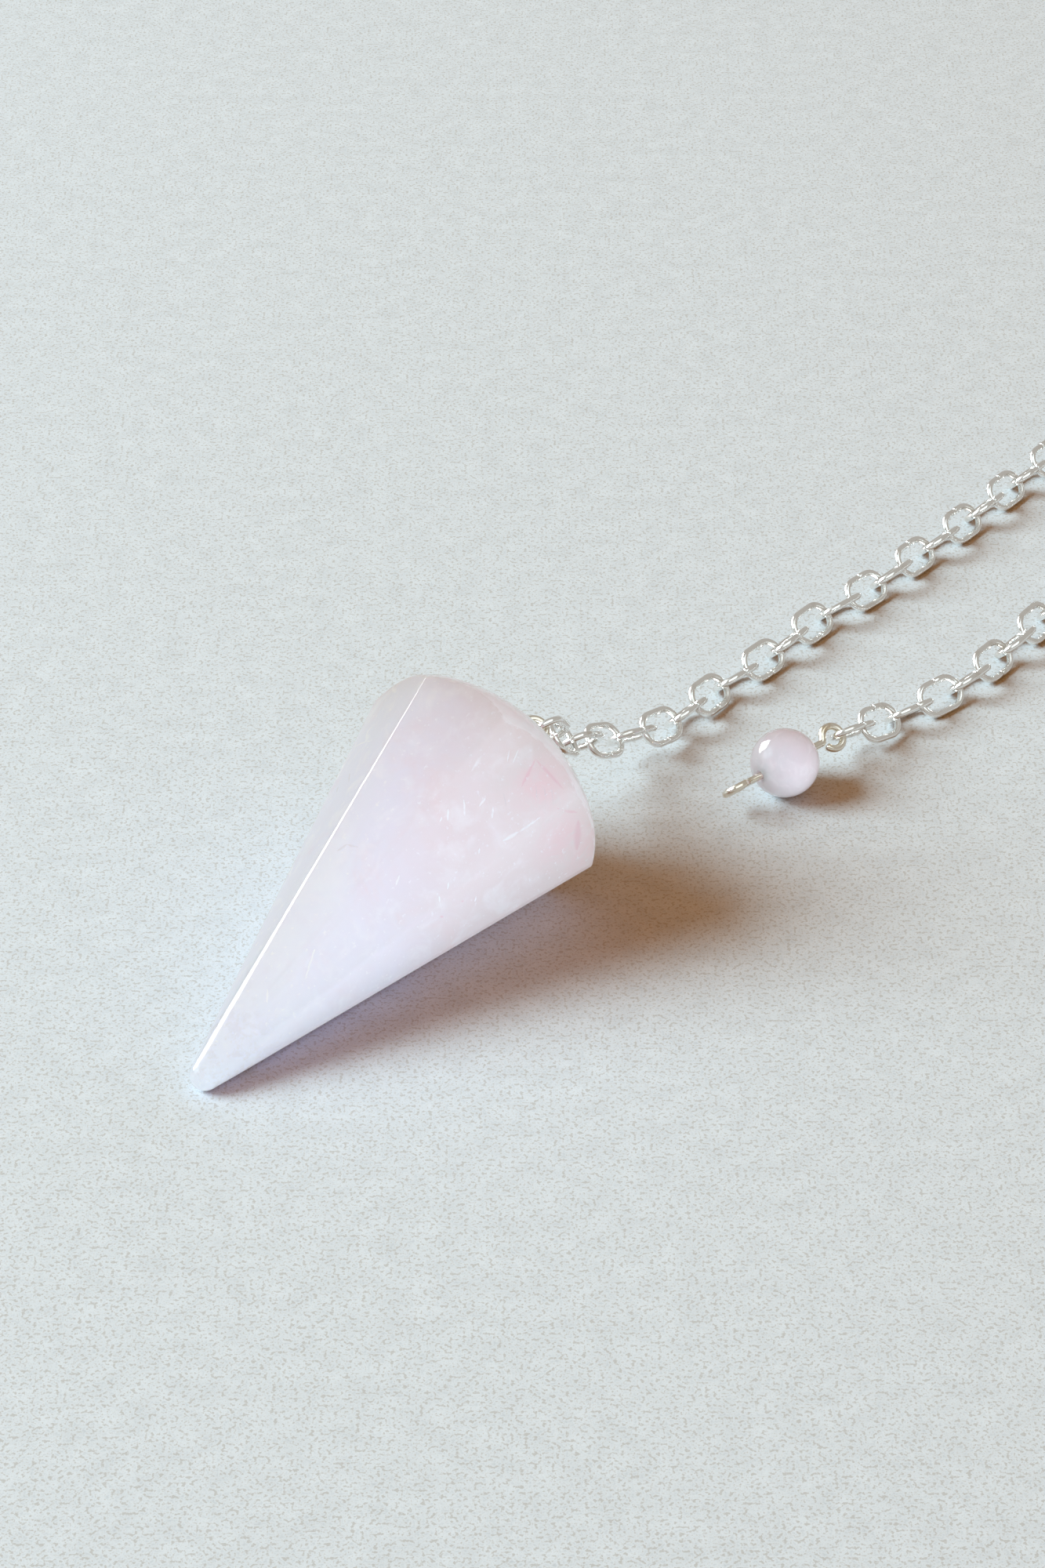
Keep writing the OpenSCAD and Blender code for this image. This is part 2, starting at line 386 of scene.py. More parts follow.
class StoneShape:
    """The stone's surface around its axis, in millimetres, from its sizes"""

    def __init__(self, sizes):
        self.sizes = sizes
        self.length = sizes.taper_length / MM
        self.side_radius = sizes.corner_radius / MM * math.cos(math.pi / len(SIDES))
        self.slopes = [self.side_radius * share / self.length for turn, share in SIDES]
        spacing = 360 / len(SIDES)
        self.headings = [-math.radians(i * spacing + turn) for i, (turn, share) in enumerate(SIDES)]
        self.tilt = math.atan(self.slopes[0])
        self.worn_radius = (sizes.corner_radius - sizes.edge_wear) / MM
        self.shift = sizes.wear_shift / MM
        self.worn_angle = math.atan(self.worn_radius / (self.length - self.shift))
        self.tip_radius = sizes.tip_radius / MM
        self.tip_height = self.shift + self.tip_radius / math.sin(self.worn_angle)
        self.shoulder = sizes.shoulder_radius / MM
        lift = math.radians(SHOULDER_LIFT)
        self.rim_angle = math.pi / 2 - lift
        self.shoulder_x = self.worn_radius - self.shoulder * math.cos(lift)
        self.shoulder_z = self.length - self.shoulder * math.sin(lift)
        self.top = self.length + sizes.dome_rise / MM
        rise = self.top - self.shoulder_z
        self.crown = (rise ** 2 + self.shoulder_x ** 2 - self.shoulder ** 2) / (2 * (rise - self.shoulder))
        self.crown_z = self.top - self.crown
        self.crown_angle = math.atan2(self.shoulder_x, self.shoulder_z - self.crown_z)

    def matrix(self):
        """Lays the upright stone on its resting side"""
        heading = math.radians(STONE_HEADING)
        flat = math.cos(self.tilt)
        along = (math.cos(heading) * flat, math.sin(heading) * flat, math.sin(self.tilt))
        level = (-math.sin(heading), math.cos(heading), 0)
        return axes_matrix(Vector(STONE_AT) * MM, along, level)

    def rounding(self, height):
        """Radius of the long edges at a height"""
        middle, end = self.sizes.edge_rounding / MM, self.sizes.rim_rounding / MM
        wanted = end + (middle - end) * (self.length - height) / (self.length / 2)
        return min(wanted, ROUNDEST * self.side_radius * height / self.length)

    def cut(self, turn, height):
        """Radius of the cut sides at a height, round over each long edge"""
        def distance(side):
            return side[0] / max(FACING, math.cos(turn - side[1]))

        nearest = sorted(zip(self.slopes, self.headings), key=distance)[:2]
        (slope, heading), (next_slope, next_heading) = nearest
        plain = slope * height / math.cos(turn - heading)
        soft = self.rounding(height)
        one, other = slope * height - soft, next_slope * height - soft
        spread = math.sin(next_heading - heading)
        x = (one * math.sin(next_heading) - other * math.sin(heading)) / spread
        y = (other * math.cos(heading) - one * math.cos(next_heading)) / spread
        along = x * math.cos(turn) + y * math.sin(turn)
        under = along * along - x * x - y * y + soft * soft
        if under < 0:
            return plain
        reach = along + math.sqrt(under)
        facing = math.atan2(reach * math.sin(turn) - y, reach * math.cos(turn) - x)
        between = math.remainder(next_heading - heading, 2 * math.pi) / 2
        off_middle = abs(math.remainder(facing - (heading + between), 2 * math.pi))
        return reach if off_middle < abs(between) else plain

    def slope(self, turn):
        """Radius per height of the nearest cut side"""
        facings = [(slope, math.cos(turn - heading)) for slope, heading in zip(self.slopes, self.headings)]
        return min(slope / facing for slope, facing in facings if facing > FACING)

    def dome(self, angle):
        """Radius and height of the domed end at an angle from its pole"""
        across, up = math.sin(angle), math.cos(angle)
        if angle < self.crown_angle:
            return self.crown * across, self.crown_z + self.crown * up
        return self.shoulder_x + self.shoulder * across, self.shoulder_z + self.shoulder * up

    def side(self, turn, height):
        """Radius of the sides at a height, with the tip worn round"""
        cut = self.cut(turn, height)
        worn = math.tan(self.worn_angle) * (height - self.shift)
        soft = self.sizes.edge_softness / MM
        share = min(1.0, max(0.0, 0.5 + 0.5 * (worn - cut) / soft))
        return worn + (cut - worn) * share - soft * share * (1 - share)

    def rim(self, turn):
        """Angle on the dome where the side meets it"""
        slope = self.slope(turn)

        def within(angle):
            radius, height = self.dome(angle)
            return radius < slope * height

        return self.rim_angle if within(self.rim_angle) else halved(0.0, self.rim_angle, within)

    def outline(self, turn):
        """Points from the tip to the bottom of the drilled hole, as radius and height"""
        points = []
        for step in range(TIP_ROWS + 1):
            angle = (math.pi / 2 - self.worn_angle) * step / TIP_ROWS
            height = self.tip_height - self.tip_radius * math.cos(angle)
            points.append((self.tip_radius * math.sin(angle), height))
        start = points[-1][1]
        rim_angle = self.rim(turn)
        edge = Vector((*self.dome(rim_angle), 0))
        soft = self.sizes.rim_softness / MM
        last = Vector((self.side(turn, edge.y - soft), edge.y - soft, 0))
        for row in range(1, SIDE_ROWS + 1):
            height = start + (last.y - start) * row / SIDE_ROWS
            points.append((self.side(turn, height), height))
        stop = rim_angle - soft / self.shoulder
        beyond = Vector((*self.dome(stop), 0))
        for step in range(1, RIM_ROWS + 1):
            point = bent(last, edge, beyond, step / (RIM_ROWS + 1))
            points.append((point.x, point.y))
        hole_radius = self.sizes.hole_diameter / MM / 2
        hole = math.asin(hole_radius / self.crown)
        for row in range(DOME_ROWS + 1):
            points.append(self.dome(stop + (hole - stop) * row / DOME_ROWS))
        points.append((hole_radius, self.top - HOLE_RING))
        points.append((hole_radius, self.top - self.sizes.hole_depth / MM))
        return points

    def edge(self, number):
        """Where a side meets the next one, as a turn"""
        after = (number + 1) % len(SIDES)
        here = self.headings[number]
        there = self.headings[after] - (0 if after else 2 * math.pi)

        def on_the_next(turn):
            return self.slopes[after] / math.cos(turn - there) < self.slopes[number] / math.cos(turn - here)

        return halved(there, here, on_the_next)

    def turns(self):
        """Columns of the mesh: close together at the edges, wider on the sides"""
        edges = [self.edge(number) for number in range(len(SIDES))]
        turns = []
        for number, far in enumerate(edges):
            near = edges[number - 1] + (0 if number else 2 * math.pi)
            middle = (near + far) / 2
            half = (near - far) / 2
            steps = [math.radians(step) for step in EDGE_STEPS]
            steps = [step for step in steps if step < half * STEPPED_SHARE]
            turns += [near - step for step in steps] + [middle] + [far + step for step in reversed(steps[1:])]
        return turns


# Marks in the stone, in its own millimetres: start, end and half the width
CRACKS = (
    ((-7.6, -4.7, 32.2), (-6.9, -5.0, 31.5), 0.15),
    ((-7.4, -4.6, 31.4), (-7.1, -4.7, 31.0), 0.10),
    ((-7.6, -5.2, 33.6), (-6.6, -5.8, 32.7), 0.15),
    ((-6.7, -6.1, 34.2), (-7.0, -6.2, 35.0), 0.13),
    ((-5.6, -7.1, 34.3), (-6.2, -6.8, 35.0), 0.13),
    ((-8.9, -4.8, 35.4), (-9.7, -4.8, 37.4), 0.26),
    ((-8.2, -6.2, 38.1), (-8.9, -6.0, 38.9), 0.10),
    ((-8.0, -6.5, 38.4), (-8.6, -6.4, 39.5), 0.10),
    ((-2.9, -2.7, 15.1), (-4.3, -2.3, 17.3), 0.15),
    ((-5.1, -4.4, 25.1), (-5.6, -4.3, 26.0), 0.13),
    ((-2.7, -6.9, 27.0), (-3.1, -6.7, 27.3), 0.12),
    ((-3.2, -6.9, 28.1), (-3.5, -6.8, 28.5), 0.12),
    ((-0.5, -7.9, 29.7), (-1.0, -7.9, 30.0), 0.12),
    ((-4.1, -7.4, 31.8), (-4.4, -7.3, 32.1), 0.12),
    ((-3.3, -1.0, 12.6), (-2.8, -1.7, 11.6), 0.14),
    ((-4.0, -8.2, 33.9), (-4.0, -8.7, 35.3), 0.22),
    ((-4.0, -8.6, 34.8), (-4.1, -9.4, 37.5), 0.14),
)
DULL_MARKS = (
    ((-6.5, 1.1, 24.8), (-6.7, 0.7, 25.6), 0.18),
    ((-6.7, 0.7, 25.6), (-6.8, -0.3, 25.8), 0.14),
    ((-5.6, 6.5, 32.5), (-6.0, 5.5, 31.4), 0.14),
    ((-4.8, 6.9, 31.3), (-4.9, 6.5, 30.7), 0.18),
    ((-6.9, -6.8, 36.5), (-5.8, -7.4, 35.8), 0.09),
    ((-6.0, -8.2, 38.7), (-5.1, -8.7, 38.1), 0.08),
    ((-5.7, -8.6, 39.2), (-4.8, -9.2, 38.6), 0.08),
    ((-5.4, -9.0, 39.6), (-4.4, -9.6, 38.9), 0.07),
)
ROSE_MARKS = (
    ((-4.0, -9.9, 38.9), (-2.5, -10.5, 40.3), 0.22),
    ((-1.6, -10.6, 40.2), (1.1, -10.6, 39.4), 0.60),
    ((-7.5, -7.5, 40.0), (-6.4, -7.6, 37.7), 0.22),
    ((-7.5, -7.5, 40.0), (-4.6, -9.8, 40.3), 0.22),
    ((-1.4, -7.0, 26.6), (-1.1, -7.0, 26.9), 0.16),
    ((-1.5, -7.5, 28.7), (-1.3, -7.5, 28.9), 0.14),
)
# Painted glow along the lit upper edge: start, end and half the width
PAINTED_GLOW_BAND = ((-7.2, 1.5, 27.0), (-3.2, -0.6, 10.5), 4.2)
# Pink zones of the stone: middle and reach
PINK_ZONES = (
    ((-5.6, -8.7, 39.2), 3.8),
    ((-1.0, -10.6, 38.6), 4.4),
    ((1.5, -10.8, 40.6), 4.6),
    ((-9.2, -4.3, 42.2), 2.6),
    ((6.5, 6.0, 33.0), 7.0),
)
# The rubbed line where the sides meet the shoulder: how far inside the shoulder's
# rounding it lies, and between which distances it fades, in millimetres
RUBBED_DEPTH = 0.06
RUBBED_FADE = (0.02, 0.10)
QUARTZ_IOR = 1.54
# How far red, green and blue light wander in quartz, as shares of its depth
QUARTZ_SCATTER = (1.0, 0.8, 0.85)


def quartz(name, sizes, matrix, features):
    """Milky rose quartz: clouds, healed cracks, veils, and what a given function adds"""
    finish = Finish(bpy.data.materials.new(name))
    place = finish.place(matrix)
    clouds = finish.noise(place, scale=0.13, detail=4.0, distortion=0.6)
    wisps = finish.noise(place, scale=0.42, detail=4.0, distortion=0.5)
    specks = finish.noise(place, scale=2.4, detail=2.0)
    waves = finish.noise(place, scale=0.6, detail=2.0)
    warm, marks = features(finish, place)
    warm = (warm + (clouds - 0.5) * 0.9).rise(0.0, 1.0)
    body = finish.mix(warm, sizes.lavender, sizes.pale)
    body = finish.mix(clouds.rise(0.52, 0.78) * 0.30, body, sizes.pink)
    body = finish.mix(wisps.rise(0.48, 0.74) * 0.34, body, sizes.white)
    for mask, colour in marks:
        body = finish.mix(mask, body, colour)
    healed = healed_cracks(finish, place)
    body = finish.mix(healed * 0.55, body, sizes.white)
    body = finish.mix(specks.rise(0.62, 0.76) * 0.45, body, sizes.white)
    rough = 0.05 + wisps.rise(0.45, 0.9) * 0.05 + healed * 0.12
    bump = finish.node("Bump", {}, {"Strength": 0.05, "Distance": 0.0002, "Height": waves})
    shader = finish.node("BsdfPrincipled", {}, {
        "Base Color": body, "Roughness": rough, "Normal": bump, "IOR": QUARTZ_IOR,
        "Subsurface Weight": 1.0, "Subsurface Radius": QUARTZ_SCATTER, "Subsurface Scale": sizes.depth})
    return finish.surface(shader)


def healed_cracks(finish, place):
    """Thin ragged sheets here and there, away from the sides that have marks of their own"""
    cells = finish.node("TexVoronoi", {"feature": "DISTANCE_TO_EDGE"}, {
        "Vector": finish.warped(place, scale=0.5, reach=1.6), "Scale": 0.20}, "Distance")
    patches = finish.noise(place, scale=0.22, detail=2.0, shift=7.0).rise(0.52, 0.66)
    other_sides = (finish.part(place, "X") * 0.8 + finish.part(place, "Y") * 0.6).rise(-3.5, -0.5)
    return (1 - cells.rise(0.0, 0.035)) * patches * other_sides


class PENDANT_OT_stone(bpy.types.Operator):
    """Builds the cut stone with soft edges over the CAD stone"""
    bl_idname = "pendant.stone"
    bl_label = "Build Stone"

    def execute(self, context):
        sizes = context.scene.pendant_stone
        shape = StoneShape(sizes)
        turns = shape.turns()
        columns = len(turns)
        outlines = [shape.outline(turn) for turn in turns]
        rows = len(outlines[0])
        points = []
        for row in range(1, rows):
            for turn, outline in zip(turns, outlines):
                radius, height = outline[row]
                points.append((radius * math.cos(turn) * MM, radius * math.sin(turn) * MM, height * MM))
        faces = grid_faces(rows - 1, columns)
        for row, height in ((0, outlines[0][0][1]), (rows - 2, outlines[0][-1][1])):
            points.append((0, 0, height * MM))
            for column in range(columns):
                beside = (column + 1) % columns
                faces.append((row * columns + column, row * columns + beside, len(points) - 1))
        material = quartz("rose_quartz_stone", sizes, shape.matrix(), self.inside)
        mesh_piece("stone_polished", points, faces, material, "rose_quartz", "stone", shape.matrix())
        return {"FINISHED"}

    def inside(self, finish, place):
        """Warmer towards the wide end and cooler towards the lit upper edge, with painted glow along that
        edge, and the stone's own cracks and stains
        """
        sizes = bpy.context.scene.pendant_stone
        along = finish.part(place, "Z")
        # Warmth grows over 40 mm along the stone, and over 14 mm from its upper edge down; the cooler upper
        # edge, on the side towards the light, is painted glow
        warm = (along - 22.0) / 40.0 - (finish.part(place, "Y") + 2.0) / 14.0 + 0.30
        zones = [finish.spot(place, middle, reach) for middle, reach in PINK_ZONES]
        stains = finish.noise(place, scale=0.5, detail=3.0, distortion=0.8).rise(0.22, 0.58)
        stained = reduce(Field.most, zones) * stains
        # Painted glow of light scattered in along the lit upper edge, broken up by noise
        milky = finish.streak(place, *PAINTED_GLOW_BAND).rise(0.0, 0.8)
        milky = milky * finish.noise(place, scale=0.28, detail=3.0, distortion=0.4).rise(0.25, 0.60)
        smudge = finish.noise(place, scale=0.7, detail=4.0, distortion=0.2).rise(0.48, 0.62)
        smudge = smudge * (1 - along.rise(7.0, 13.0))
        dome, rim = self.dome_and_rim(finish, place)
        return warm, (
            (milky * 0.75, sizes.painted_glow),
            (stained * 0.80, sizes.pink),
            (dome * 0.45, sizes.white),
            (rim * 0.5, sizes.white),
            (smudge * 0.70, sizes.grey),
            (self.marked(finish, place, ROSE_MARKS) * 0.55, sizes.rose),
            (self.marked(finish, place, DULL_MARKS) * 0.40, sizes.grey),
            (self.marked(finish, place, CRACKS), sizes.white))

    def dome_and_rim(self, finish, place):
        """Where the dome's shoulder is, and the thin rubbed line along its rim"""
        shape = StoneShape(bpy.context.scene.pendant_stone)
        x, y, z = (finish.part(place, axis) for axis in "XYZ")
        out = ((x * x + y * y).root() - shape.shoulder_x).most(0.0)
        up = (z - shape.shoulder_z).most(0.0)
        inward = shape.shoulder - (out * out + up * up).root()
        chips = finish.noise(place, scale=0.8, detail=3.0).rise(0.40, 0.60)
        line = 1 - abs(inward - RUBBED_DEPTH).rise(*RUBBED_FADE)
        return 1 - inward.rise(RUBBED_FADE[0], RUBBED_DEPTH), line * chips

    def marked(self, finish, place, marks):
        """Where any mark of a table lies, its line a little ragged"""
        ragged = finish.warped(place, scale=2.6, reach=0.16)
        return reduce(Field.most, [finish.streak(ragged, *mark) for mark in marks]).rise(0.0, 0.85)


def solids_of(node):
    """The points of each separate solid of a CAD node, in metres"""
    mesh = node.data
    points = np.empty(len(mesh.vertices) * 3)
    mesh.vertices.foreach_get("co", points)
    points, welded = np.unique(points.reshape(-1, 3).round(7), axis=0, return_inverse=True)
    edges = np.empty(len(mesh.edges) * 2, dtype=np.int64)
    mesh.edges.foreach_get("vertices", edges)
    edges = welded.ravel()[edges].reshape(-1, 2)
    label = np.arange(len(points))
    while True:
        low = np.minimum(label[edges[:, 0]], label[edges[:, 1]])
        spread = label.copy()
        np.minimum.at(spread, edges[:, 0], low)
        np.minimum.at(spread, edges[:, 1], low)
        spread = spread[spread]
        if (spread == label).all():
            return [points[label == value] for value in np.unique(label)]
        label = spread


def axes_of(points):
    """Middle of a solid and its three axes, the longest first"""
    mean = points.mean(axis=0)
    axes = np.linalg.eigh(np.cov((points - mean).T))[1][:, ::-1].T
    spread = (points - mean) @ axes.T
    middle = mean + (spread.max(axis=0) + spread.min(axis=0)) / 2 @ axes
    return Vector(middle), [Vector(axis) for axis in axes]


# Sides of a round wire, and steps of the half circle at each end of a link
WIRE_SIDES = 16
BEND_STEPS = 14
# The cut ends of a link's wire, as a share of its radius
CUT_END = 0.86
# The buried end of the peg, as a share of its radius
PEG_END = 0.85
# A loop starts its round this far from the neck and turns this far, in degrees, in this many steps
LOOP_START = 34
LOOP_TURN = 301
LOOP_STEPS = 38
# Where the shaft ends and where it bends off into the loop, as shares of the loop's radius
SHAFT_END = 1.30
SHAFT_CORNER = 1.02
# Points of the CAD wire within this share of a loop's outer radius belong to the loop
LOOP_REACH = 1.02


def swept(path, radii, level):
    """A round wire along points in one plane, closed at both ends; level is the plane's axis"""
    points = []
    for i, (at, radius) in enumerate(zip(path, radii)):
        ahead = (path[min(i + 1, len(path) - 1)] - path[max(i - 1, 0)]).normalized()
        across = ahead.cross(level)
        for step in range(WIRE_SIDES):
            turn = 2 * math.pi * step / WIRE_SIDES
            points.append(at + (level * math.cos(turn) + across * math.sin(turn)) * radius)
    faces = grid_faces(len(path), WIRE_SIDES)
    faces.append(tuple(reversed(range(WIRE_SIDES))))
    faces.append(tuple(range(len(points) - WIRE_SIDES, len(points))))
    return points, faces


def joined(parts):
    """Points and faces of several meshes as one"""
    points, faces = [], []
    for some_points, some_faces in parts:
        shift = len(points)
        points += some_points
        faces += [tuple(shift + corner for corner in face) for face in some_faces]
    return points, faces


def silver(name, colour, tarnish, amount):
    """Bright plated wire with faint drawing marks, a little dull in spots"""
    finish = Finish(bpy.data.materials.new(name))
    place = finish.place()
    spots = finish.noise(place, scale=700.0, detail=4.0, distortion=0.4)
    grain = finish.noise(place, scale=5200.0, detail=2.0)
    body = finish.mix(spots.rise(0.48, 0.72) * amount, colour, tarnish)
    rough = 0.09 + spots.rise(0.4, 0.8) * 0.16 + grain * 0.04
    bump = finish.node("Bump", {}, {"Strength": 0.10, "Distance": 0.00002, "Height": grain})
    shader = finish.node("BsdfPrincipled", {}, {
        "Base Color": body, "Metallic": 1.0, "Roughness": rough, "Normal": bump})
    return finish.surface(shader)


class PENDANT_OT_chain(bpy.types.Operator):
    """Builds each link again in fine round wire with the seam where its ends meet"""
    bl_idname = "pendant.chain"
    bl_label = "Build Chain"

    def execute(self, context):
        sizes = context.scene.pendant_metal
        solids = solids_of(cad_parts["chain"])
        links = [self.link(sizes, *axes_of(points), number) for number, points in enumerate(solids)]
        material = silver("silver_links", sizes.silver, sizes.tarnish, 0.4)
        mesh_piece("chain_links", *joined(links), material, "silver_chain", "chain")
        return {"FINISHED"}

    def link(self, sizes, middle, axes, number):
        """One link from its middle and its axes; its seam is in one of its straight sides"""
        along, beside, level = axes
        if number % 2:
            beside = -beside
        bend = (sizes.link_width - sizes.wire_diameter) / 2
        straight = (sizes.link_length - sizes.link_width) / 2
        seam = sizes.seam_width / 2
        lip = sizes.wire_diameter / 8
        flat = [(seam, bend), (seam + lip, bend)]
        for end in (1, -1):
            flat.append((end * straight, end * bend))
            for step in range(1, BEND_STEPS):
                turn = math.pi * step / BEND_STEPS
                flat.append((end * (straight + bend * math.sin(turn)), end * bend * math.cos(turn)))
            flat.append((end * straight, -end * bend))
        flat += [(-seam - lip, bend), (-seam, bend)]
        radius = sizes.wire_diameter / 2
        radii = [radius * CUT_END] + [radius] * (len(flat) - 2) + [radius * CUT_END]
        return swept([middle + along * u + beside * v for u, v in flat], radii, level)


class PENDANT_OT_loops(bpy.types.Operator):
    """Bends the wire loops of the stone and the bead, each with the small gap at its neck"""
    bl_idname = "pendant.loops"
    bl_label = "Build Loops"

    def execute(self, context):
        sizes = context.scene.pendant_metal
        material = silver("silver_loops", sizes.warm_silver, sizes.golden, 0.9)
        self.stone_loop(sizes, material)
        self.bead_wire(sizes, material)
        return {"FINISHED"}

    def stone_loop(self, sizes, material):
        """The glued peg with its loop, in line with the stone"""
        shape = StoneShape(bpy.context.scene.pendant_stone)
        matrix = shape.matrix()
        along = matrix.to_3x3().col[2].normalized()
        top = matrix.translation + along * (shape.top * MM)
        middle = top + along * (sizes.peg_neck + sizes.loop_diameter / 2)
        level = self.ring_axis(solids_of(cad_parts["stone_peg"])[0], middle, sizes)
        peg = sizes.peg_diameter / 2
        wire = sizes.loop_wire / 2
        bottom = top - along * sizes.peg_length
        path = [bottom, bottom + along * peg / 4, top - along * peg / 2, top]
        radii = [peg * PEG_END, peg, peg, wire]
        chain_side = Vector(solids_of(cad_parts["chain"])[0].mean(axis=0)) - middle
        eye = self.eye(middle, along, level, chain_side, sizes)
        mesh = swept(path + eye, radii + [wire] * len(eye), level)
        mesh_piece("stone_loop", *mesh, material, "silver_wire", "stone_peg")

    def bead_wire(self, sizes, material):
        """The wire through the bead, with a loop at each end turned a quarter from the other"""
        points = solids_of(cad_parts["bead_pin"])[0]
        middle, axes = axes_of(points)
        reach = bpy.context.scene.pendant_bead.diameter / 2 + sizes.pin_neck + sizes.loop_diameter / 2
        wire = sizes.loop_wire / 2
        parts = []
        for end in (axes[0], -axes[0]):
            centre = middle + end * reach
            axis = self.ring_axis(points, centre, sizes)
            eye = self.eye(centre, end, axis, Vector((0, 0, 1)), sizes)
            path = [middle, middle + end * reach * 0.4] + eye
            parts.append(swept(path, [wire] * len(path), axis))
        mesh_piece("bead_wire", *joined(parts), material, "silver_wire", "bead_pin")

    def ring_axis(self, points, middle, sizes):
        """Axis of the loop around a point, from the CAD loop's own points"""
        away = np.linalg.norm(points - np.array(middle), axis=1)
        ring = points[away < sizes.loop_diameter / 2 * LOOP_REACH]
        return Vector(np.linalg.eigh(np.cov((ring - ring.mean(axis=0)).T))[1][:, 0])

    def eye(self, middle, along, level, open_away, sizes):
        """Points of a loop from the end of its shaft, round to a small gap before the neck"""
        beside = along.cross(level).normalized()
        if beside.dot(open_away) < 0:
            beside = -beside
        radius = (sizes.loop_diameter - sizes.loop_wire) / 2

        def round_at(degrees):
            turn = math.radians(degrees)
            return middle + (beside * math.sin(turn) - along * math.cos(turn)) * radius

        start = middle - along * (radius * SHAFT_END)
        corner = middle - along * (radius * SHAFT_CORNER)
        bend = [bent(start, corner, round_at(LOOP_START), share) for share in (0.0, 0.2, 0.4, 0.6, 0.8)]
        return bend + [round_at(LOOP_START + LOOP_TURN * step / LOOP_STEPS) for step in range(LOOP_STEPS + 1)]


# Sides of the bead and rows of its round outside
BEAD_SIDES = 72
BEAD_ROWS = 48


class PENDANT_OT_bead(bpy.types.Operator):
    """Builds the end bead with the rubbed rims of its hole"""
    bl_idname = "pendant.bead"
    bl_label = "Build Bead"

    def execute(self, context):
        sizes = context.scene.pendant_bead
        middle, axes = axes_of(solids_of(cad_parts["bead_pin"])[0])
        matrix = axes_matrix(middle, axes[0], axes[1])
        outline = self.outline(sizes)
        points = []
        for radius, height in outline:
            for step in range(BEAD_SIDES):
                turn = 2 * math.pi * step / BEAD_SIDES
                points.append((radius * math.cos(turn), radius * math.sin(turn), height))
        faces = grid_faces(len(outline), BEAD_SIDES, closed_rows=True)
        material = quartz("rose_quartz_end", sizes, matrix, self.inside)
        mesh_piece("bead_polished", points, faces, material, "rose_quartz_bead", "end_bead", matrix)
        return {"FINISHED"}

    def outline(self, sizes):
        """Closed outline of half the bead's section, as radius and height"""
        radius, hole, rub = sizes.diameter / 2, sizes.hole_diameter / 2, sizes.chamfer
        rim = math.asin((hole + rub) / radius)
        outline = []
        for row in range(BEAD_ROWS + 1):
            turn = rim + (math.pi - 2 * rim) * row / BEAD_ROWS
            outline.append((radius * math.sin(turn), radius * math.cos(turn)))
        end = outline[-1][1]
        outline += [(hole + rub * 0.3, end + rub * 0.3), (hole, end + rub)]
        outline += [(hole, -end - rub), (hole + rub * 0.3, -end - rub * 0.3)]
        return outline

    def inside(self, finish, place):
        """Warmer towards one end of the bead, with pale veils"""
        sizes = bpy.context.scene.pendant_bead
        veil = finish.noise(place, scale=0.55, detail=4.0, distortion=1.5).rise(0.50, 0.72)
        return finish.part(place, "Z") * 0.08 + 0.50, ((veil * 0.35, sizes.white),)


MILKY_PIECES = ("stone_polished", "bead_polished")
SILVER_PIECES = ("chain_links", "stone_loop", "bead_wire")
# Half the side of the square floor, in metres
FLOOR_HALF = 3.0
# Where the lights stand, as seen from the pendant
LEFT = (-0.84, -0.03, 0.55)
FAR_LEFT = (-0.8, 0.25, 0.55)
BEHIND = (-0.74, 0.57, 0.36)
FAR_SIDE = (-0.75, 0.45, 0.50)
FRONT = (0.45, -0.82, 0.28)
ABOVE = (0.25, -0.45, 0.85)
# The camera's sensor and lens in millimetres, and the nearest thing that it sees in metres
SENSOR_HEIGHT = 36.0
LENS = 92.6
NEAREST_SEEN = 0.01


